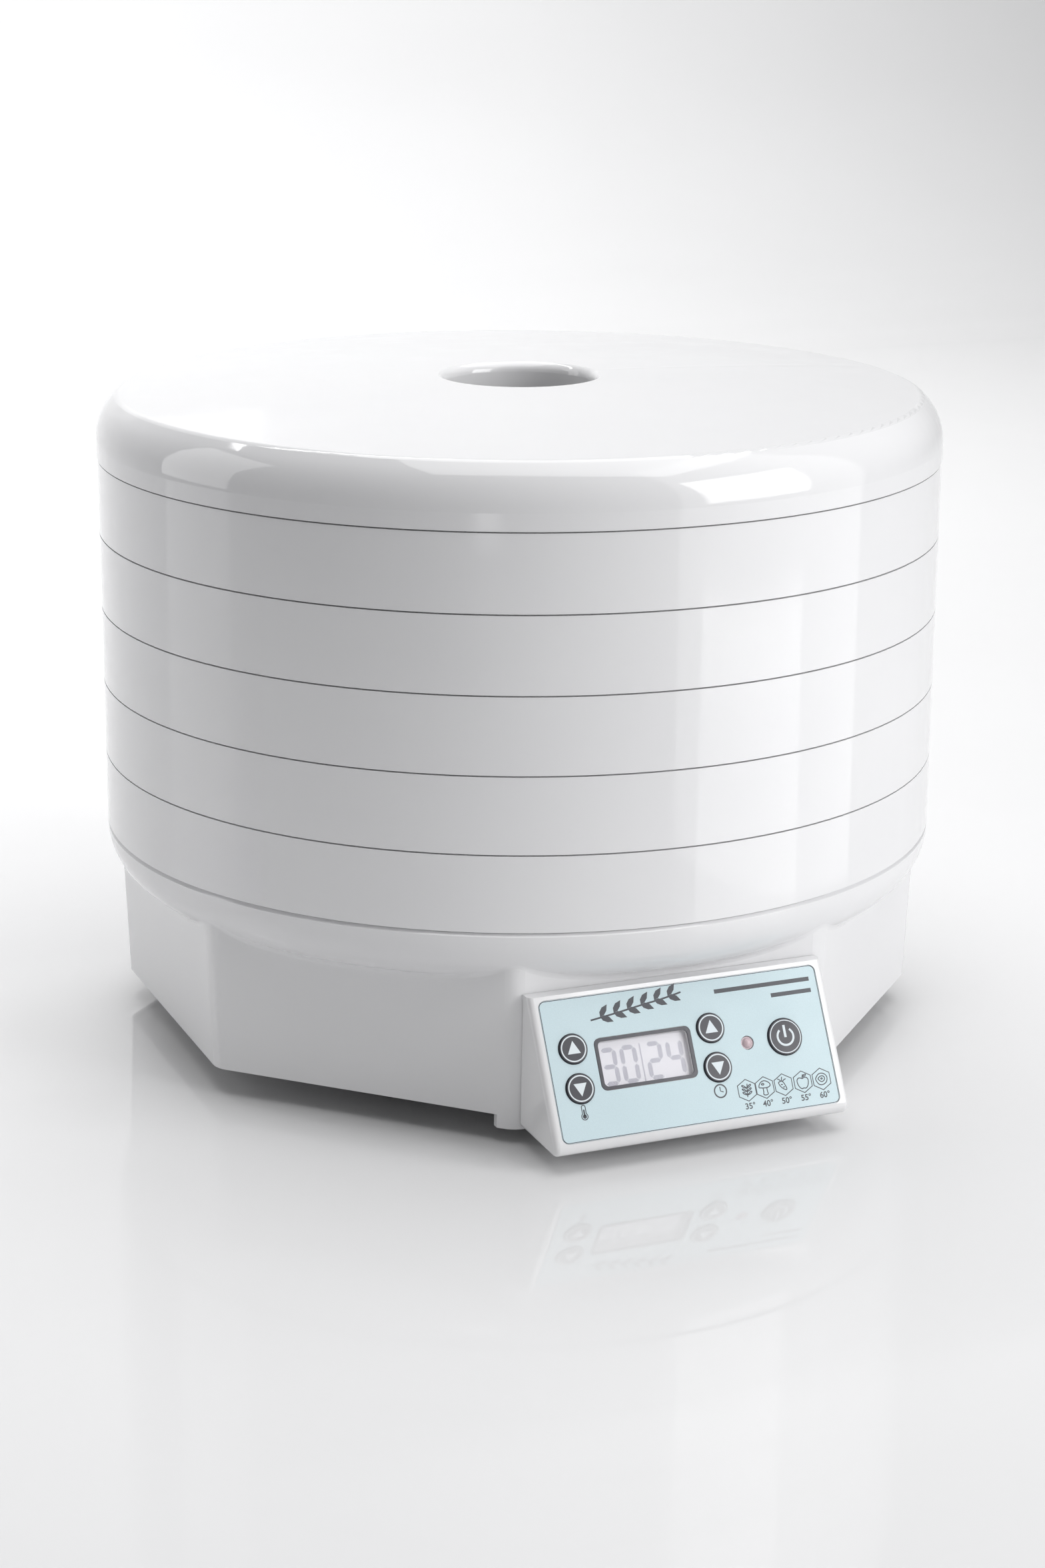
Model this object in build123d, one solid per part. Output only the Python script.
from build123d import *
import os
from math import cos, pi, radians, sin, tan

# A round food dehydrator: five stacked drying trays between a vented lid and a powered base.
# The base draws air in from below, a fan drives it across a heater and up a ring-shaped duct in the
# tray walls, and slots let it flow across each tray to the middle, where it rises out of the lid.
# Millimetres. The origin is on the table, under the axis of the stack. The control panel faces -Y.

# ---- Overall sizes ----
body_diameter = 340.0
tray_pitch = 30.0
tray_count = 5
base_height = 86.0
lid_height = 30.0

# ---- Shared walls, gaps and fasteners ----
wall = 2.0
outer_seam = 0.6
stack_gap = 0.3
fit_gap = 0.3
screw_r = 1.5
screw_head_r = 2.9
screw_head_t = 2.2
pilot_r = 1.25
boss_r = 3.6
hole_gap = 0.25

# ---- Trays ----
duct_width = 12.0
inner_wall = 1.8
skirt_depth = 3.0
skirt_wall = 2.0
floor_lift = 0.8
floor_height = 2.4
main_rib_height = 4.4
main_rib_width = 2.6
fine_rib_width = 1.6
ring_rib_width = 1.6
main_rib_count = 8
fine_ribs_between = 3
floor_ring_count = 9
centre_hole_r = 31.0
collar_wall = 2.2
collar_height = 6.0
slot_height = 6.0
slot_count = 24
slot_share = 0.62

# ---- Lid ----
lid_side_height = 6.9
lid_edge_in = 10.3
lid_edge_up = 17.6
lid_edge_turn = 50.0
lid_oversize = 0.3
vent_r = 30.2
vent_lip = 4.0
vent_depth = 19.0
lid_rib_count = 8
lid_rib_height = 5.0

# ---- Base housing ----
bowl_edge_r = 21.0
rim_side_height = 2.0
rim_chamfer = 1.1
base_side_in = 17.8
base_draft = 2.0
base_corner_r = 10.0
base_edge_z = 11.5
scallop_fillet_r = 3.0
front_skirt_drop = 5.4
front_skirt_beside = 7.4
post_r = 4.2
post_inset = 7.0
fan_hole_r = 58.0

# ---- Bottom cover and feet ----
cover_t = 2.2
cover_recess = 1.0
grille_rings = 4
grille_in_r = 20.0
grille_slot = 5.0
grille_pitch = 10.0
grille_spokes = 8
foot_r = 10.0
foot_circle_r = 118.0
foot_stem_r = 3.0

# ---- Deck, heater and reflector ----
deck_t = 2.0
deck_drop = 4.2
deck_screw_count = 6
deck_screw_in = 11.0
heater_ring_r = 88.0
heater_tube_r = 3.2
heater_rise = 8.0
heater_gap_angle = 20.0
heater_leg = 18.0
reflector_t = 0.8
reflector_in_r = 64.0
reflector_out_r = 124.0
clip_count = 4
cutout_r = 7.5
cutout_height = 5.0

# ---- Motor and fan ----
shaft_r = 3.0
shaft_clearance = 0.03
rotor_r = 13.0
air_gap = 0.45
stack_height = 16.0
stack_z = 30.0
stack_width = 54.0
stack_rotor_side = 27.0
stack_coil_side = 58.0
coil_leg = 13.0
window_length = 17.0
window_width = 30.0
strap_t = 2.0
strap_stand = 5.0
strap_width = 16.0
bearing_r = 6.0
bearing_length = 9.0
motor_bolt_r = 2.0
motor_bolt_y = 21.5
bush_r = 5.5
plate_t = 1.5
impeller_r = 53.0
impeller_height = 11.0
blade_count = 9
blade_t = 1.8
hub_r = 9.0
under_deck_gap = 2.4

# ---- Power board ----
board_t = 1.6
power_board_x = 96.0
power_board_y = 62.0
power_board_centre_y = 88.0
power_board_lift = 6.0

# ---- Control panel ----
panel_side_margin = 3.5
panel_brow_height = 1.5
panel_toe_height = 5.6
panel_bottom_z = 7.0
panel_top_depth = 5.3
panel_lean = 29.0
panel_wall = 2.2
panel_edge_r = 2.2
panel_foot_r = 4.0
overlay_width = 114.2
overlay_height = 53.4
overlay_t = 0.4
overlay_recess = 0.5
overlay_corner_r = 2.6
overlay_gap = 0.25
lcd_width = 39.2
lcd_height = 19.6
lcd_x = -18.4
lcd_up = 27.2
lcd_frame = 1.3
lcd_corner_r = 2.4
small_button_r = 5.6
power_button_r = 7.0
button_proud = 0.7
button_travel = 0.5
button_gap = 0.25
stem_r = 2.0
led_r = 2.4
led_x = 23.6
led_up = 27.4
board_depth = 9.0
display_board_width = 108.0
display_board_height = 34.0
board_post_r = 2.2
board_stake_r = 1.2
board_posts = ((-30.0, 12.3), (24.0, 12.3), (-30.0, 41.4), (24.0, 41.4))
panel_screw_x = 52.0
ribbon_x = 32.0
ribbon_width = 16.0
ribbon_t = 1.0
header_y = -18.0
header_depth = 6.0

buttons = {
    "button_temp_up": (-46.7, 34.4, small_button_r),
    "button_temp_down": (-46.7, 19.5, small_button_r),
    "button_time_up": (9.6, 34.9, small_button_r),
    "button_time_down": (9.6, 19.9, small_button_r),
    "button_power": (39.3, 27.6, power_button_r),
}

# ---- Cord entry ----
gland_bore_r = 3.6
gland_body_r = 6.4
gland_flange_r = 9.0
gland_z = 34.0
gland_nose = 9.0
gland_lean_gap = 0.35

# ---- Sizes worked out from the ones above ----
body_r = body_diameter / 2
wall_in_r = body_r - wall
duct_in_r = wall_in_r - duct_width
tray_in_r = duct_in_r - inner_wall
skirt_out_r = wall_in_r - stack_gap
skirt_in_r = skirt_out_r - skirt_wall
stack_top_z = base_height + tray_count * tray_pitch
lid_r = body_r + lid_oversize
lid_crown_z = stack_top_z + lid_height
bowl_centre_r = body_r - bowl_edge_r
bowl_centre_z = base_height - rim_side_height
bowl_floor_z = bowl_centre_z - bowl_edge_r
bowl_floor_top = bowl_floor_z + wall
base_apothem = body_r - base_side_in
corner_factor = 1 / cos(pi / 8)
wall_lean = tan(radians(base_draft))
deck_z = base_height - deck_drop
deck_screw_circle_r = bowl_centre_r - deck_screw_in
cover_z = base_edge_z + cover_recess
cover_top = cover_z + cover_t
heater_z = bowl_floor_top + heater_rise
reflector_z = bowl_floor_top + 0.2
stack_top = stack_z + stack_height
top_strap_z = stack_top + strap_stand
bottom_strap_z = stack_z - strap_stand - strap_t
motor_plate_z = bowl_floor_z - plate_t
impeller_z = deck_z - deck_t - under_deck_gap - impeller_height
power_board_z = cover_top + power_board_lift
pane_corner_r = lcd_corner_r - lcd_frame / 2


def apothem_at(z):
    """Distance from the axis to a flat side of the base at height z; the sides lean outwards."""
    return base_apothem + (z - base_edge_z) * wall_lean


# The panel's own plane: x across, y up the slope, z outwards, with the overlay's lower edge at y = 0.
lean = radians(panel_lean)
panel_half_width = overlay_width / 2 + panel_side_margin
overlay_foot_z = panel_bottom_z + panel_toe_height
panel_top_z = overlay_foot_z + overlay_height * cos(lean) + panel_brow_height
panel_top_y = -apothem_at(panel_top_z) - panel_top_depth
overlay_foot_y = panel_top_y - (panel_top_z - overlay_foot_z) * tan(lean)
panel_plane = Plane(
    origin=(0, overlay_foot_y, overlay_foot_z),
    x_dir=(1, 0, 0),
    z_dir=(0, -cos(lean), sin(lean)),
)


def disc(radius, low, high):
    return Pos(0, 0, low) * extrude(Circle(radius), high - low)


def ring(outer, inner, low, high):
    return Pos(0, 0, low) * extrude(Circle(outer) - Circle(inner), high - low)


def block(x, y, z):
    """A box from its lowest to its highest value on each axis."""
    centre = Pos((x[0] + x[1]) / 2, (y[0] + y[1]) / 2, (z[0] + z[1]) / 2)
    return centre * Box(x[1] - x[0], y[1] - y[0], z[1] - z[0])


def around(count, piece, start=0.0):
    """Copies of a piece spaced evenly about the stack's axis."""
    return [Rot(0, 0, start + 360.0 * i / count) * piece for i in range(count)]


def turned(outline):
    """A solid of revolution from a closed outline drawn in the XZ plane."""
    return revolve(make_face(Plane.XZ * outline), Axis.Z)


def group(pieces):
    """Separate solids that share one node."""
    return Compound(children=[s for p in pieces for s in p.solids()])


def save(name, shape):
    export_step(shape, f"parts/{name}.step")


# ---- Trays ----
def stack_wall(low, high, radius=body_r):
    """The wall that shows outside, with the skirt that drops inside the piece below."""
    half_seam = outer_seam / 2
    shown = ring(radius, wall_in_r, low + half_seam, high - half_seam)
    skirt = ring(skirt_out_r, skirt_in_r, low - skirt_depth, low + skirt_depth)
    foot = ring(wall_in_r + 0.5, skirt_in_r, low + half_seam, low + skirt_depth)
    return shown + skirt + foot


def tray_floor(low):
    """An open lattice: deep main ribs, finer ribs between them and round ribs across both."""
    start = centre_hole_r + collar_wall / 2
    reach = duct_in_r - inner_wall / 2
    length = reach - start
    fine_count = main_rib_count * (fine_ribs_between + 1)
    rib_centre = Pos(start + length / 2, 0)
    lattice = Sketch() + [
        Rot(0, 0, 360.0 * i / fine_count) * (rib_centre * Rectangle(length, fine_rib_width))
        for i in range(fine_count)
    ]
    step = length / (floor_ring_count + 1)
    for i in range(floor_ring_count):
        radius = start + step * (i + 1)
        lattice += Circle(radius + ring_rib_width / 2) - Circle(radius - ring_rib_width / 2)
    floor = Pos(0, 0, low) * extrude(lattice, floor_height)
    rib_profile = rib_centre * Rectangle(length, main_rib_width)
    main_rib = Pos(0, 0, low) * extrude(rib_profile, main_rib_height)
    return floor + around(main_rib_count, main_rib)


def tray():
    """One drying tray: outer wall, ring duct, slotted inner wall, lattice floor and centre collar.

    It is drawn with its lower seam at z = 0.
    """
    low = 0.0
    high = tray_pitch
    half_gap = stack_gap / 2
    floor_z = low + floor_lift
    inner = ring(duct_in_r, tray_in_r, low + half_gap, high - half_gap)
    slot_arc = 360.0 / slot_count * slot_share
    slot_length = 2 * duct_in_r * sin(radians(slot_arc / 2))
    slot_z = floor_z + main_rib_height + slot_height
    slot = Pos(duct_in_r, 0, slot_z) * Box(4 * inner_wall, slot_length, slot_height)
    inner -= around(slot_count, slot)
    web_in_r = duct_in_r - inner_wall / 2
    web_length = wall_in_r + wall / 2 - web_in_r
    web_high = high - skirt_depth - 1.5
    web = block((web_in_r, web_in_r + web_length), (-0.8, 0.8), (low + skirt_depth, web_high))
    collar = ring(centre_hole_r + collar_wall, centre_hole_r, floor_z, floor_z + collar_height)
    webs = around(slot_count, web, start=180.0 / slot_count)
    return stack_wall(low, high) + webs + inner + tray_floor(floor_z) + collar


# ---- Lid ----
def lid_outline(inset, low):
    """Half section of the lid's skin, set in from the outside by a wall or not at all."""
    shoulder_z = stack_top_z + lid_side_height
    edge_r = lid_r - lid_edge_in
    edge_z = shoulder_z + lid_edge_up
    turn = radians(lid_edge_turn)
    small_r = (lid_edge_in * sin(turn) - lid_edge_up * (1 - cos(turn))) / (
        cos(turn) * sin(turn) - (1 - sin(turn)) * (1 - cos(turn))
    )
    large_r = (lid_edge_in - small_r * cos(turn)) / (1 - cos(turn))
    side = Line((lid_r - inset, low), (lid_r - inset, shoulder_z))
    lower_edge = CenterArc((lid_r - large_r, shoulder_z), large_r - inset, 0, lid_edge_turn)
    upper_edge = CenterArc((edge_r, edge_z - small_r), small_r - inset, lid_edge_turn, 90 - lid_edge_turn)
    rise = lid_crown_z - edge_z
    crown = ThreePointArc(
        upper_edge @ 1, (edge_r / 2, edge_z + 0.75 * rise - inset), (0, lid_crown_z - inset)
    )
    axis = Line(crown @ 1, (0, low))
    return side + lower_edge + upper_edge + crown + axis + Line(axis @ 1, side @ 0)


def vent_cut():
    """The hole through the lid, with a soft rounded mouth."""
    mouth_z = lid_crown_z + 1.0
    flare = vent_r + vent_lip
    centre = (flare, lid_crown_z - vent_lip)
    low = lid_crown_z - vent_depth - 1.0
    lip = CenterArc(centre, vent_lip, 180, -90)
    pieces = Line((0, low), (vent_r, low)) + Line((vent_r, low), lip @ 0) + lip
    pieces += Line(lip @ 1, (flare, mouth_z)) + Line((flare, mouth_z), (0, mouth_z))
    return turned(pieces + Line((0, mouth_z), (0, low)))


def lid():
    """A domed lid with a centre vent tube and a ring that seats on the top tray's inner wall."""
    low = stack_top_z + outer_seam / 2
    skin = turned(lid_outline(0, low)) - turned(lid_outline(wall, low - 1))
    skirt_top = stack_top_z + skirt_depth
    skirt = ring(skirt_out_r, skirt_in_r, stack_top_z - skirt_depth, skirt_top)
    skirt += ring(wall_in_r + 0.6, skirt_in_r, low, skirt_top)
    inside = turned(lid_outline(wall / 2, stack_top_z - skirt_depth))
    seat = ring(duct_in_r, tray_in_r, stack_top_z + stack_gap / 2, lid_crown_z) & inside
    tube = ring(vent_r + vent_lip, vent_r - 1.0, lid_crown_z - vent_lip, lid_crown_z)
    tube += ring(vent_r + wall, vent_r - 1.0, lid_crown_z - vent_depth, lid_crown_z)
    tube = tube & turned(lid_outline(0.2, stack_top_z))
    rib_in = vent_r + wall / 2
    rib_out = duct_in_r - inner_wall / 2
    rib_low = stack_top_z + lid_side_height + lid_edge_up - wall - lid_rib_height
    rib = block((rib_in, rib_out), (-0.9, 0.9), (rib_low, lid_crown_z)) & inside
    return skin + skirt + seat + tube + around(lid_rib_count, rib) - vent_cut()


# ---- Base housing ----
def octagon(apothem, corner_r):
    outline = RegularPolygon(apothem, 8, major_radius=False, rotation=22.5)
    return fillet(outline.vertices(), corner_r)


def octagon_prism(inset, low, high, corner_r):
    """An eight-sided block whose sides lean outwards; inset is measured in from the outside."""
    sections = [
        Pos(0, 0, z) * octagon(apothem_at(z) - inset, corner_r) for z in (low, high)
    ]
    return loft(sections, ruled=True)


def bowl_solid(inset, top):
    """The round bowl that carries the stack, as a solid; inset thins it to its inner face."""
    edge_r = bowl_edge_r - inset
    bend = CenterArc((bowl_centre_r, bowl_centre_z), edge_r, -90, 90)
    floor = Line((0, bowl_centre_z - edge_r), bend @ 0)
    side = Line(bend @ 1, (bowl_centre_r + edge_r, top))
    lid_line = Line(side @ 1, (0, top))
    return turned(floor + bend + side + lid_line + Line((0, top), floor @ 0))


def outer_base():
    """The outside of the base: bowl and eight-sided body, blended where they meet."""
    rim_z = base_height - outer_seam / 2
    body = octagon_prism(0, base_edge_z, bowl_centre_z - 6, base_corner_r)
    bowl = bowl_solid(0, rim_z)
    rim = bowl.edges().filter_by(GeomType.CIRCLE).sort_by(Axis.Z)[-1]
    shape = body + chamfer(rim, rim_chamfer)
    meeting = [
        e
        for e in shape.edges()
        if bowl_floor_z - 2 < e.center().Z < bowl_centre_z - 2 and e.bounding_box().size.Z < 14
    ]
    return fillet(meeting, scallop_fillet_r)


def front_skirt():
    """The lower edge of the front side, which drops behind the control panel."""
    low = base_edge_z - front_skirt_drop
    tube = octagon_prism(0, low, base_edge_z + 4, base_corner_r)
    tube -= octagon_prism(wall, low - 1, base_edge_z + 5, base_corner_r - wall)
    half = panel_half_width + front_skirt_beside
    front = block((-half, half), (-base_apothem - 10, -base_apothem + 12), (0, 30))
    return tube & front


def post_reach():
    """How far the corner posts stand from the axis."""
    return base_apothem * corner_factor - base_corner_r * (corner_factor - 1) - post_inset


def cover_posts():
    """Posts in the corners of the base that take the bottom cover's screws."""
    post = Pos(post_reach(), 0, cover_top) * Cylinder(
        post_r, bowl_floor_z + wall / 2 - cover_top, align=(Align.CENTER, Align.CENTER, Align.MIN)
    )
    pilot = Pos(post_reach(), 0, cover_top) * Cylinder(pilot_r, 24)
    return around(8, post - pilot, start=22.5)


def panel_screw_holes(radius):
    """Holes through the front side for the screws that hold the control panel."""
    length = 30.0
    places = [(x, z) for x in (-panel_screw_x, panel_screw_x) for z in panel_screw_heights()]
    return [
        Pos(x, -base_apothem, z) * Rot(90, 0, 0) * Cylinder(radius, length) for x, z in places
    ]


def panel_screw_heights():
    return (panel_bottom_z + 12, panel_top_z - 11)


def base_housing():
    """One moulding: bowl, eight-sided walls, front skirt, screw posts and the fan opening."""
    rim_z = base_height - outer_seam / 2
    hollow_top = bowl_centre_z - 6 - wall
    below = octagon_prism(wall, base_edge_z - 1, hollow_top, base_corner_r - wall)
    shape = outer_base() - (below - bowl_solid(0, rim_z))
    shape -= bowl_solid(wall, rim_z + 1)
    shape += front_skirt()
    shape += cover_posts()
    shape -= disc(fan_hole_r, bowl_floor_z - 1, bowl_floor_top + 1)
    shape -= around(deck_screw_count, floor_hole(deck_screw_circle_r, screw_r + hole_gap), start=30)
    shape -= heater_leg_holes(heater_tube_r + 1.2)
    shape -= around(4, floor_hole(motor_plate_screw_r(), pilot_r), start=45)
    shape -= panel_screw_holes(screw_r + hole_gap)
    shape -= block(
        (ribbon_x - ribbon_width / 2 - 3, ribbon_x + ribbon_width / 2 + 3),
        (-base_apothem - 10, -base_apothem + 10),
        (ribbon_z() - 5, ribbon_z() + 5),
    )
    gland_hole = Pos(0, base_apothem, gland_z) * Rot(90, 0, 0) * Cylinder(gland_body_r, 40)
    return shape - gland_hole


def floor_hole(circle_r, radius):
    return Pos(circle_r, 0, bowl_floor_z) * Cylinder(radius, 4 * wall)


def heater_leg_places():
    """Where the heater's two ends turn down, either side of its gap at the back."""
    half = heater_gap_angle / 2
    angles = (90 - half, 90 + half)
    return [(heater_ring_r * cos(radians(a)), heater_ring_r * sin(radians(a))) for a in angles]


def heater_leg_holes(radius):
    return [Pos(x, y, bowl_floor_z) * Cylinder(radius, 4 * wall) for x, y in heater_leg_places()]


def motor_plate_screw_r():
    return fan_hole_r + 6.0


# ---- Bottom cover and feet ----
def bottom_cover():
    """The plate that closes the base, with the air intake grille and the board's stand-offs."""
    plate = octagon_prism(wall + fit_gap, cover_z, cover_top, base_corner_r - wall)
    slots = []
    for i in range(grille_rings):
        inner = grille_in_r + grille_pitch * i
        slots.append(ring(inner + grille_slot, inner, cover_z - 1, cover_top + 1))
    spoke_reach = grille_in_r + grille_pitch * grille_rings
    spoke = block((grille_in_r - 4, spoke_reach), (-2.0, 2.0), (cover_z, cover_top))
    plate = plate - slots + around(grille_spokes, spoke)
    screw_hole = Pos(post_reach(), 0, cover_z) * Cylinder(screw_r + hole_gap, 4 * cover_t)
    plate -= around(8, screw_hole, start=22.5)
    foot_hole = Pos(foot_circle_r, 0, cover_z) * Cylinder(foot_stem_r + 0.1, 4 * cover_t)
    plate -= around(4, foot_hole, start=45)
    for x, y in power_board_corners():
        stand = Pos(x, y, cover_top - 0.5) * Cylinder(
            boss_r, power_board_lift + 0.5, align=(Align.CENTER, Align.CENTER, Align.MIN)
        )
        plate += stand - Pos(x, y, power_board_z) * Cylinder(pilot_r, 2 * power_board_lift)
    return plate


def foot():
    """A rubber foot with a barbed stem that pulls through the cover."""
    barb_z = cover_top + 0.1
    outline = Polyline(
        (0, 0), (foot_r - 1, 0), (foot_r, 1.5), (foot_r, cover_z), (foot_stem_r, cover_z),
        (foot_stem_r, barb_z), (foot_stem_r + 0.9, barb_z), (foot_stem_r - 0.8, barb_z + 3.5),
        (0, barb_z + 3.5), (0, 0),
    )
    return Pos(foot_circle_r, 0, 0) * turned(outline)


def cover_screws():
    return group(around(8, Pos(post_reach(), 0, cover_z) * screw(10.0), start=22.5))


def screw(length):
    """A pan-head screw pointing up, with its head's seat at z = 0 and a cross recess."""
    head = Pos(0, 0, -screw_head_t) * extrude(Circle(screw_head_r), screw_head_t)
    head = fillet(head.edges().sort_by(Axis.Z)[0], 0.9)
    recess = Box(0.8, 3.2, 2.4) + Box(3.2, 0.8, 2.4)
    shank = extrude(Circle(pilot_r), length)
    return head + shank - Pos(0, 0, -screw_head_t) * recess


# ---- Deck, heater and reflector ----
def deck():
    """The plate over the fan; its rim carries the lowest tray and leaves the ring duct open."""
    plate = disc(duct_in_r, deck_z - deck_t, deck_z)
    rim = ring(duct_in_r, tray_in_r, deck_z - 5, base_height - stack_gap / 2)
    leg_height = deck_z - bowl_floor_top
    leg = Pos(deck_screw_circle_r, 0, bowl_floor_top) * Cylinder(
        boss_r, leg_height - deck_t / 2, align=(Align.CENTER, Align.CENTER, Align.MIN)
    )
    pilot = Pos(deck_screw_circle_r, 0, bowl_floor_top) * Cylinder(pilot_r, leg_height)
    groove_rings = [
        ring(r + 0.8, r - 0.8, deck_z - 0.6, deck_z + 1) for r in (60.0, 95.0, 130.0)
    ]
    return plate + rim + around(deck_screw_count, leg - pilot, start=30) - groove_rings


def deck_screws():
    one = Pos(deck_screw_circle_r, 0, bowl_floor_z) * screw(9.0)
    return group(around(deck_screw_count, one, start=30))


def reflector():
    """A bright metal ring under the heater that keeps its heat off the bowl."""
    plate = ring(reflector_out_r, reflector_in_r, reflector_z, reflector_z + reflector_t)
    lip = ring(reflector_out_r, reflector_out_r - reflector_t, reflector_z, reflector_z + 3.0)
    tabs = around(4, floor_hole(motor_plate_screw_r(), screw_head_r + 1), start=45)
    return plate + lip - heater_leg_holes(heater_tube_r + 1.2) - tabs


def heater_element():
    """A sheathed heating ring with its two ends turned down through the bowl's floor."""
    section = Plane.XZ * (Pos(heater_ring_r, heater_z) * Circle(heater_tube_r))
    turn = 360.0 - heater_gap_angle
    coil = Rot(0, 0, 90 + heater_gap_angle / 2) * revolve(section, Axis.Z, turn)
    for x, y in heater_leg_places():
        coil += Pos(x, y, heater_z) * Sphere(heater_tube_r)
        coil += Pos(x, y, heater_z - heater_leg) * extrude(Circle(heater_tube_r), heater_leg)
    return coil


def heater_clips():
    """Bent steel clips that hold the ring above the reflector."""
    foot_z = reflector_z + reflector_t
    hold = Pos(heater_ring_r, 0, heater_z) * Rot(90, 0, 0) * Cylinder(heater_tube_r + 1.2, 6)
    hold -= Pos(heater_ring_r, 0, heater_z) * Rot(90, 0, 0) * Cylinder(heater_tube_r + 0.15, 8)
    leg = block((heater_ring_r - 1.5, heater_ring_r + 1.5), (-3, 3), (foot_z, heater_z - heater_tube_r - 0.6))
    tab = block((heater_ring_r - 7, heater_ring_r + 7), (-3, 3), (foot_z, foot_z + 0.8))
    return group(around(clip_count, hold + leg + tab, start=20))


def thermal_cutout():
    """A round bimetal cut-out on the reflector, with two blade terminals."""
    centre_r = heater_ring_r + 22.0
    low = reflector_z + reflector_t
    can = Pos(centre_r, 0, low) * extrude(Circle(cutout_r), cutout_height)
    cap = Pos(centre_r, 0, low + cutout_height) * extrude(Circle(cutout_r - 1.5), 1.6)
    blades = [
        block((centre_r - 2, centre_r + 2), (y, y + 6.0), (low + 1.5, low + 2.3))
        for y in (cutout_r - 1, -cutout_r - 5)
    ]
    return Rot(0, 0, 70) * (can + cap + blades)


def air_sensor():
    """A small sensor bead on a clip in the warm air on its way to the duct."""
    centre_r = reflector_out_r + 14.0
    clip = block((centre_r - 3, centre_r + 3), (-2.5, 2.5), (bowl_floor_top, bowl_floor_top + 1.0))
    stem = block((centre_r - 0.6, centre_r + 0.6), (-1, 1), (bowl_floor_top, bowl_floor_top + 7))
    bead = Pos(centre_r, 0, bowl_floor_top + 8) * Sphere(1.8)
    return Rot(0, 0, 105) * (clip + stem + bead)


# ---- Motor and fan ----
def motor_bolt_holes(radius):
    length = 140.0
    return [Pos(0, y, stack_z) * Cylinder(radius, length) for y in (-motor_bolt_y, motor_bolt_y)]


def motor_stator():
    """The laminated core: a loop with the rotor's bore at one end and the coil's leg at the other."""
    core = block(
        (-stack_coil_side, stack_rotor_side), (-stack_width / 2, stack_width / 2), (stack_z, stack_top)
    )
    window_end = -stack_coil_side + coil_leg + window_length
    window = block(
        (-stack_coil_side + coil_leg, window_end),
        (-window_width / 2, window_width / 2),
        (stack_z - 1, stack_top + 1),
    )
    bore = disc(rotor_r + air_gap, stack_z - 1, stack_top + 1)
    return core - window - bore - motor_bolt_holes(motor_bolt_r)


def motor_coil():
    """The winding on its bobbin, around the far leg of the core."""
    leg_mid = -stack_coil_side + coil_leg / 2
    middle = (leg_mid, 0, stack_z + stack_height / 2)
    outer = Box(coil_leg + 24, window_width - 6, stack_height + 24)
    outer = fillet(outer.edges().filter_by(Axis.Y), 4)
    flange = Box(coil_leg + 27, 1.6, stack_height + 27)
    ends = [Pos(0, y, 0) * flange for y in (-window_width / 2 + 2.2, window_width / 2 - 2.2)]
    through = Box(coil_leg + 0.4, window_width * 2, stack_height + 0.4)
    return Pos(*middle) * (outer + ends - through)


def strap(z, bearing_low):
    """A steel strap across the core that holds a bearing in its middle."""
    half = motor_bolt_y + 6.0
    bar = block((-strap_width / 2, strap_width / 2), (-half, half), (z, z + strap_t))
    cup = ring(bearing_r + 1.5, bearing_r, bearing_low, bearing_low + bearing_length)
    hole = disc(bearing_r, bearing_low - 1, bearing_low + bearing_length + 1)
    return bar + cup - hole - motor_bolt_holes(motor_bolt_r)


def top_bearing_z():
    return top_strap_z - 2.0


def bottom_bearing_z():
    return bottom_strap_z + strap_t + 2.0 - bearing_length


def bearing(low):
    return ring(bearing_r, shaft_r + shaft_clearance, low, low + bearing_length)


def motor_spacers():
    """Sleeves on the motor bolts that hold the straps away from the core."""
    sleeves = []
    for y in (-motor_bolt_y, motor_bolt_y):
        for low, high in ((bottom_strap_z + strap_t, stack_z), (stack_top, top_strap_z)):
            sleeves.append(Pos(0, y, 0) * ring(motor_bolt_r + 2, motor_bolt_r, low, high))
    return group(sleeves)


def motor_bushes():
    """Rubber bushes between the motor and its plate that keep its hum out of the base."""
    low = top_strap_z + strap_t
    return group(
        [
            Pos(0, y, 0) * ring(bush_r, motor_bolt_r, low, motor_plate_z)
            for y in (-motor_bolt_y, motor_bolt_y)
        ]
    )


def motor_bolts():
    """Two long bolts through the motor, its bushes and its plate, with their nuts."""
    nut_z = motor_plate_z + plate_t
    bolts = []
    for y in (-motor_bolt_y, motor_bolt_y):
        shank = disc(motor_bolt_r, bottom_strap_z, nut_z + 2.6)
        head = Pos(0, 0, bottom_strap_z - 2.4) * extrude(RegularPolygon(4.0, 6), 2.4)
        nut = Pos(0, 0, nut_z) * extrude(RegularPolygon(4.0, 6), 2.2)
        bolts.append(Pos(0, y, 0) * (shank + head + nut))
    return group(bolts)


def motor_plate():
    """The steel carrier that hangs the motor in the middle of the fan opening."""
    rim = ring(fan_hole_r + 10, fan_hole_r - 2, motor_plate_z, bowl_floor_z)
    hub = ring(bush_r + motor_bolt_y, 10.0, motor_plate_z, bowl_floor_z)
    arm = block((18.0, fan_hole_r), (-5, 5), (motor_plate_z, bowl_floor_z))
    holes = around(4, floor_hole(motor_plate_screw_r(), screw_r + hole_gap), start=45)
    return rim + hub + around(4, arm, start=45) - holes - motor_bolt_holes(motor_bolt_r)


def motor_plate_screws():
    one = Pos(motor_plate_screw_r(), 0, motor_plate_z) * screw(4.4)
    return group(around(4, one, start=45))


def motor_rotor():
    return ring(rotor_r, shaft_r, stack_z - 1.5, stack_top + 1.5)


def motor_shaft():
    tip = impeller_z + impeller_height + 0.6
    shaft = disc(shaft_r, bottom_bearing_z() - 1.0, tip)
    return chamfer(shaft.edges().sort_by(Axis.Z)[-1], 0.6)


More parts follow.
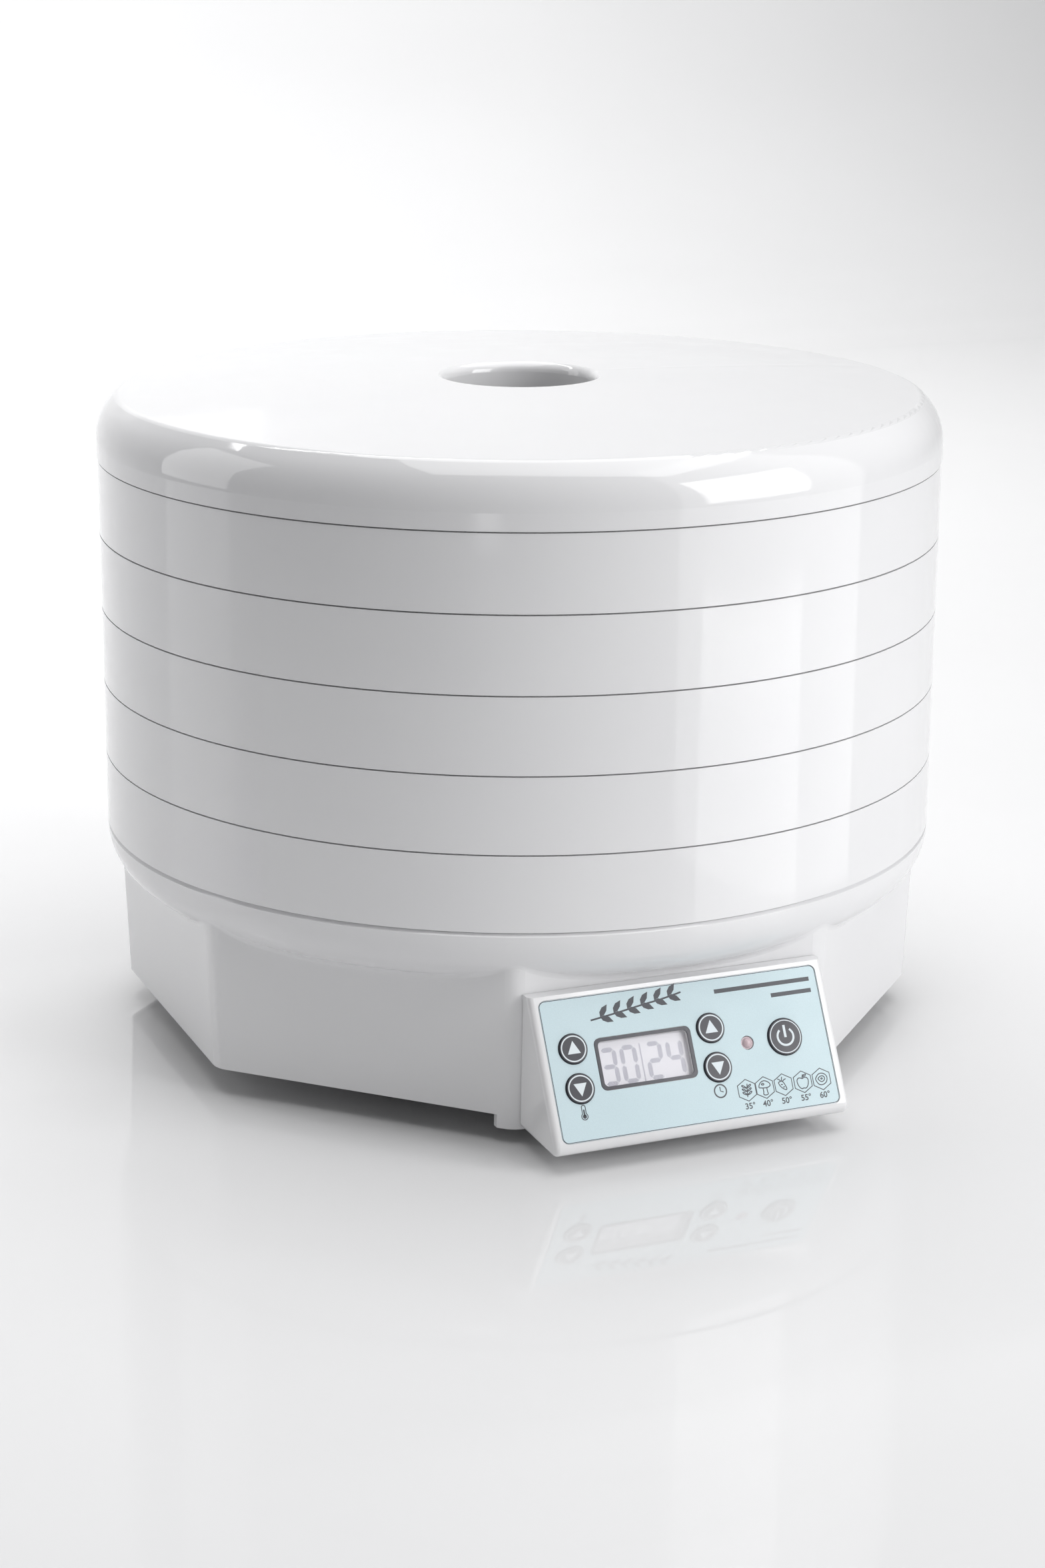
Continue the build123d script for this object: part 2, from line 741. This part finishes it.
def fan_impeller():
    """A centrifugal wheel: hub, top disc and backward-leaning blades."""
    high = impeller_z + impeller_height
    top = ring(impeller_r, shaft_r, high - 1.6, high)
    hub = ring(hub_r, shaft_r, impeller_z, high)
    blade_in = 24.0
    chord = impeller_r - blade_in - 1.0
    blade = Rot(0, 0, -32) * Box(chord, blade_t, impeller_height)
    blade = Pos(blade_in + chord / 2, 0, impeller_z + impeller_height / 2) * blade
    blade = blade & disc(impeller_r, impeller_z, high)
    bottom = ring(impeller_r, impeller_r - 9.0, impeller_z, impeller_z + 1.4)
    return top + hub + around(blade_count, blade) + bottom


def fan_clip():
    """A push-on spring washer that keeps the wheel on the shaft."""
    low = impeller_z - 1.0
    washer = ring(6.5, shaft_r, low, impeller_z)
    slot = block((shaft_r - 1, shaft_r + 1.6), (-0.5, 0.5), (low - 1, impeller_z + 1))
    return washer - around(3, slot)


# ---- Power board ----
def power_board_corners():
    dx = power_board_x / 2 - 5
    dy = power_board_y / 2 - 5
    return [(x, power_board_centre_y + y) for x in (-dx, dx) for y in (-dy, dy)]


def power_board():
    middle = Pos(0, power_board_centre_y, power_board_z + board_t / 2)
    board = middle * Box(power_board_x, power_board_y, board_t)
    holes = [Pos(x, y, power_board_z) * Cylinder(screw_r + hole_gap, 4 * board_t)
             for x, y in power_board_corners()]
    return board - holes


def board_screws():
    turned_over = Rot(180, 0, 0) * screw(5.5)
    seat = power_board_z + board_t
    return group([Pos(x, y, seat) * turned_over for x, y in power_board_corners()])


def on_board(x, y, size):
    """A block standing on the power board, at x and y from the board's middle."""
    low = power_board_z + board_t
    cx = x
    cy = power_board_centre_y + y
    return block(
        (cx - size[0] / 2, cx + size[0] / 2), (cy - size[1] / 2, cy + size[1] / 2), (low, low + size[2])
    )


def transformer():
    core = on_board(-22, 4, (28, 24, 22))
    winding = on_board(-22, 4, (18, 34, 17))
    return core + winding


def relay():
    case = on_board(8, 12, (19, 15, 15.5))
    return fillet(case.edges().filter_by(Axis.Z), 1.0)


def capacitor():
    x, y = 8, -14
    can_r, can_h = 5.0, 18.0
    base = Pos(x, power_board_centre_y + y, power_board_z + board_t)
    can = base * extrude(Circle(can_r), can_h)
    return fillet(can.edges().sort_by(Axis.Z)[-1], 0.8)


def terminal_block():
    """A screw terminal strip for the mains and heater leads."""
    body = on_board(32, 12, (20, 12, 12))
    top = power_board_z + board_t + 12
    wells = [
        Pos(32 + dx, power_board_centre_y + 12, top) * Cylinder(2.0, 4) for dx in (-6.5, 0, 6.5)
    ]
    return body - wells


def ribbon_header():
    return on_board(ribbon_x, header_y, (ribbon_width + 2, header_depth, 8))


# ---- Control panel ----
def on_panel(shape):
    """Puts a shape drawn in the panel's own plane into place on the sloping front."""
    return panel_plane * shape


def panel_block():
    """The solid wedge that the panel housing is hollowed from, with its rounded edges."""
    drop = panel_top_z - panel_bottom_z
    toe_y = panel_top_y - drop * tan(lean)
    side = Polyline(
        (0, panel_top_z), (panel_top_y, panel_top_z), (toe_y, panel_bottom_z), (0, panel_bottom_z),
        close=True,
    )
    profile = make_face(Plane.YZ * side)
    wedge = extrude(profile, panel_half_width, both=True)
    toe = wedge.edges().filter_by(Axis.X).group_by(Axis.Y)[0]
    wedge = fillet(toe, panel_foot_r)
    front = [
        f for f in wedge.faces() if abs(f.normal_at().X) < 0.9 and f.center().Y < panel_top_y / 2
    ]
    lowest_y = panel_top_y / 2
    outline = [
        e
        for f in front
        for e in f.edges()
        if abs(e.center().X) > panel_half_width - 0.01 and e.bounding_box().max.Y < lowest_y
    ]
    return fillet(outline, panel_edge_r)


def before_front(gap):
    """Everything in front of the base's front side, which the panel housing stands against."""
    low = panel_bottom_z - 20
    high = panel_top_z + 20
    sections = [
        Pos(0, 0, z)
        * Pos(0, -apothem_at(z) - gap - 60)
        * Rectangle(2 * panel_half_width + 20, 120)
        for z in (low, high)
    ]
    return loft(sections, ruled=True)


def panel_cavity():
    """The hollow inside the panel housing, open at the back."""
    drop = panel_top_z - panel_bottom_z
    top_y = panel_top_y - panel_wall * tan(lean) + panel_wall / cos(lean)
    toe_y = top_y - (drop - 2 * panel_wall) * tan(lean)
    side = Polyline(
        (0, panel_top_z - panel_wall),
        (top_y, panel_top_z - panel_wall),
        (toe_y, panel_bottom_z + panel_wall),
        (0, panel_bottom_z + panel_wall),
        close=True,
    )
    return extrude(make_face(Plane.YZ * side), panel_half_width - panel_wall, both=True)


def rounded(width, height, radius):
    return RectangleRounded(width, height, radius)


def overlay_centre():
    return Pos(0, overlay_height / 2)


def lcd_centre():
    return Pos(lcd_x, lcd_up)


def panel_housing():
    """The leaning case of the controls, with its window, button holes and screw bosses."""
    shape = panel_block() - panel_cavity()
    bosses = []
    for x in (-panel_screw_x, panel_screw_x):
        for z in panel_screw_heights():
            bosses.append(Pos(x, -base_apothem - 15, z) * Rot(90, 0, 0) * Cylinder(boss_r, 60))
    inside = panel_block()
    shape += [b & inside for b in bosses]
    shape -= [
        Pos(x, -apothem_at(z), z) * Rot(90, 0, 0) * Cylinder(pilot_r, 12)
        for x in (-panel_screw_x, panel_screw_x)
        for z in panel_screw_heights()
    ]
    recess = rounded(
        overlay_width + 2 * overlay_gap, overlay_height + 2 * overlay_gap, overlay_corner_r + overlay_gap
    )
    shape -= on_panel(Pos(0, 0, -overlay_recess) * extrude(overlay_centre() * recess, 3))
    window = rounded(lcd_width - 2 * lcd_frame, lcd_height - 2 * lcd_frame, 1.0)
    shape -= on_panel(Pos(0, 0, -6) * extrude(lcd_centre() * window, 10))
    for x, up, radius in buttons.values():
        shape -= on_panel(Pos(x, up, 0) * Cylinder(radius + button_gap, 12))
    shape -= on_panel(Pos(led_x, led_up, 0) * Cylinder(led_r + button_gap, 12))
    stake_end = board_depth + board_t + 1.0
    for x, up in board_posts:
        post = Pos(0, 0, -board_depth) * extrude(Circle(board_post_r), board_depth - panel_wall / 2)
        stake = Pos(0, 0, -stake_end) * extrude(Circle(board_stake_r), stake_end - panel_wall)
        shape += on_panel(Pos(x, up, 0) * (post + stake))
    return (shape & before_front(hole_gap)) - bowl_solid(-hole_gap, base_height)


def panel_overlay():
    """The printed film on the front, cut out for the window, the buttons and the lamp."""
    film = overlay_centre() * rounded(overlay_width, overlay_height, overlay_corner_r)
    film -= lcd_centre() * rounded(lcd_width + 0.3, lcd_height + 0.3, lcd_corner_r + 0.15)
    for x, up, radius in buttons.values():
        film -= Pos(x, up) * Circle(radius + button_gap)
    film -= Pos(led_x, led_up) * Circle(led_r + button_gap)
    return on_panel(Pos(0, 0, -overlay_recess) * extrude(film, overlay_t))


def lcd_bezel():
    frame = rounded(lcd_width, lcd_height, lcd_corner_r)
    frame -= rounded(lcd_width - 2 * lcd_frame, lcd_height - 2 * lcd_frame, pane_corner_r)
    raised = Pos(0, 0, -overlay_recess) * extrude(lcd_centre() * frame, overlay_t + 0.15)
    return on_panel(raised)


def lcd_window():
    """The clear pane inside the frame, set into the housing's window."""
    pane = rounded(
        lcd_width - 2 * lcd_frame - 0.2, lcd_height - 2 * lcd_frame - 0.2, pane_corner_r - 0.1
    )
    return on_panel(Pos(0, 0, -panel_wall) * extrude(lcd_centre() * pane, panel_wall - 0.2))


def lcd_panel():
    """The liquid crystal glass behind the pane."""
    glass = Rectangle(lcd_width + 3, lcd_height + 3)
    return on_panel(Pos(0, 0, -panel_wall - 2.3) * extrude(lcd_centre() * glass, 2.0))


def indicator_led():
    low = -board_depth
    body = Pos(led_x, led_up, low) * extrude(Circle(led_r), board_depth - 0.6)
    dome = Pos(led_x, led_up, -0.6 - 0.4) * (Sphere(led_r) & Pos(0, 0, led_r) * Box(9, 9, 2 * led_r))
    collar = Pos(led_x, led_up, low) * extrude(Circle(led_r + 0.5), 1.2)
    return on_panel(body + Pos(0, 0, -led_r * 0.35) * dome + collar)


def button(x, up, radius):
    """A cap with a retaining flange behind the housing's front and a stem towards its switch."""
    face = Pos(0, 0, -panel_wall) * extrude(Circle(radius), panel_wall + button_proud)
    face = fillet(face.edges().sort_by(Axis.Z)[-1], 0.35)
    flange = Pos(0, 0, -panel_wall - 1.1) * extrude(Circle(radius + 0.7), 0.8)
    neck = Pos(0, 0, -panel_wall - 0.6) * extrude(Circle(radius - 0.5), 1.2)
    stem_end = -board_depth + switch_height() + button_travel + 0.2
    stem = Pos(0, 0, stem_end) * extrude(Circle(stem_r), -panel_wall - stem_end)
    return on_panel(Pos(x, up, 0) * (face + flange + neck + stem))


def switch_height():
    return 4.3


def tact_switches():
    """The small push switches under the buttons."""
    case_height = 3.4
    switches = []
    for x, up, _ in buttons.values():
        case = Pos(0, 0, -board_depth) * extrude(Rectangle(6, 6), case_height)
        tip = Pos(0, 0, -board_depth) * extrude(Circle(1.7), switch_height())
        switches.append(on_panel(Pos(x, up, 0) * (case + tip)))
    return group(switches)


def display_board():
    low = -board_depth - board_t
    board = Pos(0, lcd_up - 0.5, low) * extrude(
        Rectangle(display_board_width, display_board_height), board_t
    )
    for x, up in board_posts:
        board -= Pos(x, up, low) * Cylinder(board_stake_r + 0.1, 4 * board_t)
    return on_panel(board) - panel_screw_clearances()


def panel_screw_clearances():
    """Room in the display board for the housing's screw bosses."""
    return [
        Pos(x, -base_apothem - 15, z) * Rot(90, 0, 0) * Cylinder(boss_r + 0.6, 60)
        for x in (-panel_screw_x, panel_screw_x)
        for z in panel_screw_heights()
    ]


def panel_screws():
    screws = []
    for x in (-panel_screw_x, panel_screw_x):
        for z in panel_screw_heights():
            seat_y = -apothem_at(z) + wall + 0.1
            screws.append(Pos(x, seat_y, z) * Rot(90, 0, 0) * screw(7.0))
    return group(screws)


def ribbon_z():
    return power_board_z + board_t + 5.0


def ribbon_cable():
    """The flat cable from the display board, through the front side, to the power board."""
    start_y = overlay_foot_y
    end_y = power_board_centre_y + header_y - header_depth / 2
    z = ribbon_z()
    strip = block(
        (ribbon_x - ribbon_width / 2, ribbon_x + ribbon_width / 2),
        (start_y, end_y),
        (z - ribbon_t / 2, z + ribbon_t / 2),
    )
    span = 400.0
    front = on_panel(Pos(0, 0, -board_depth - board_t - 0.1 + span / 2) * Box(span, span, span))
    return strip - front


# ---- Cord entry ----
def cord_gland():
    """A strain-relief bush in the back wall; its bore takes the mains lead."""
    mouth_y = apothem_at(gland_z)
    body = extrude(Circle(gland_body_r), wall + 6.0)
    flange = Pos(0, 0, wall + 6.0) * extrude(Circle(gland_flange_r), 2.0)
    nose = Pos(0, 0, wall + 8.0) * Cone(
        gland_body_r, gland_bore_r + 1.4, gland_nose, align=(Align.CENTER, Align.CENTER, Align.MIN)
    )
    latch = Pos(0, 0, 3.0) * extrude(Circle(gland_body_r + 0.8), 1.6)
    whole = body + flange + nose + latch
    whole -= Pos(0, 0, -1) * extrude(Circle(gland_bore_r), 40)
    place = Pos(0, mouth_y - wall - 6.0 + gland_lean_gap, gland_z) * Rot(-90, 0, 0)
    return place * whole


os.makedirs("parts", exist_ok=True)

save("lid", lid())
one_tray = tray()
for number in range(tray_count):
    tray_low = base_height + tray_pitch * (tray_count - 1 - number)
    save(f"tray_{number + 1}", Pos(0, 0, tray_low) * one_tray)
save("base_housing", base_housing())
save("bottom_cover", bottom_cover())
foot_names = ("back_right", "back_left", "front_left", "front_right")
for name, piece in zip(foot_names, around(4, foot(), start=45)):
    save(f"foot_{name}", piece)
save("cover_screws", cover_screws())
save("drying_deck", deck())
save("deck_screws", deck_screws())
save("heat_reflector", reflector())
save("heater_element", heater_element())
save("heater_clips", heater_clips())
save("thermal_cutout", thermal_cutout())
save("air_sensor", air_sensor())
save("motor_stator", motor_stator())
save("motor_coil", motor_coil())
save("motor_top_strap", strap(top_strap_z, top_bearing_z()))
save("motor_bottom_strap", strap(bottom_strap_z, bottom_bearing_z()))
save("motor_top_bearing", bearing(top_bearing_z()))
save("motor_bottom_bearing", bearing(bottom_bearing_z()))
save("motor_spacers", motor_spacers())
save("motor_bushes", motor_bushes())
save("motor_bolts", motor_bolts())
save("motor_plate", motor_plate())
save("motor_plate_screws", motor_plate_screws())
save("motor_rotor", motor_rotor())
save("motor_shaft", motor_shaft())
save("fan_impeller", fan_impeller())
save("fan_clip", fan_clip())
save("power_board", power_board())
save("board_screws", board_screws())
save("transformer", transformer())
save("relay", relay())
save("capacitor", capacitor())
save("terminal_block", terminal_block())
save("ribbon_header", ribbon_header())
save("ribbon_cable", ribbon_cable())
save("panel_housing", panel_housing())
save("panel_overlay", panel_overlay())
save("lcd_bezel", lcd_bezel())
save("lcd_window", lcd_window())
save("lcd_panel", lcd_panel())
save("indicator_led", indicator_led())
for name, (x, up, radius) in buttons.items():
    save(name, button(x, up, radius))
save("display_board", display_board())
save("tact_switches", tact_switches())
save("panel_screws", panel_screws())
save("cord_gland", cord_gland())
